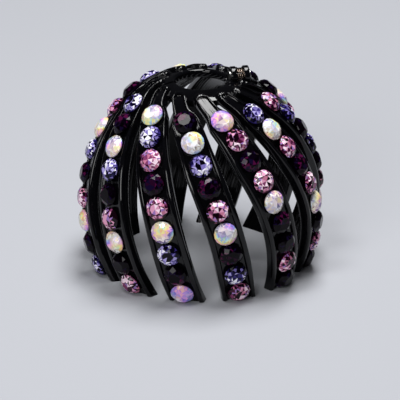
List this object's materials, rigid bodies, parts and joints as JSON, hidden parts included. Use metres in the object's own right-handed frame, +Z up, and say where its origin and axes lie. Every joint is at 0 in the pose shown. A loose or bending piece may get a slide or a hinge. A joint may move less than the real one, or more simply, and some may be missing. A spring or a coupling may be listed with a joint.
{
  "type": "bird nest hair clip",
  "caption": "Hollow dome hair clip of leaning channelled ribs, each set with a row of cut stones; its two sprung halves hinge beside the top hole and close round a bun.",
  "frame": {"origin": "on the dome's axis, in the plane of the ribs' feet", "axes": "+Z up along the dome's axis, through the hole in its top; -Y is the side that the picture shows, and +X is to its right"},
  "size_m": [0.0498, 0.0498, 0.0416],
  "materials": {
    "black_plastic": "moulded, polished black",
    "pin_steel": "drawn steel pin with pressed heads",
    "spring_steel": "bright spring wire",
    "cut_stone": "foil-backed faceted glass in clear iridescent, lavender, rose and dark amethyst"
  },
  "bodies": {
    "left": {"left_half": "black_plastic", "stone_row_09": "cut_stone", "stone_row_10": "cut_stone", "stone_row_11": "cut_stone", "stone_row_12": "cut_stone", "stone_row_01": "cut_stone", "stone_row_02": "cut_stone"},
    "right": {"right_half": "black_plastic", "hinge_pin": "pin_steel", "hinge_spring": "spring_steel", "stone_row_03": "cut_stone", "stone_row_04": "cut_stone", "stone_row_05": "cut_stone", "stone_row_06": "cut_stone", "stone_row_07": "cut_stone", "stone_row_08": "cut_stone"}
  },
  "joints": [
    {"name": "clip_hinge", "type": "hinge", "parent": "left", "child": "right", "pos_m": [0.00766, 0.00171, 0.0396], "axis": [-0.9759, -0.2181, 0], "range_deg": [0, 45], "stiffness_Nm_per_rad": 0.06, "springref_deg": -28.65}
  ]
}
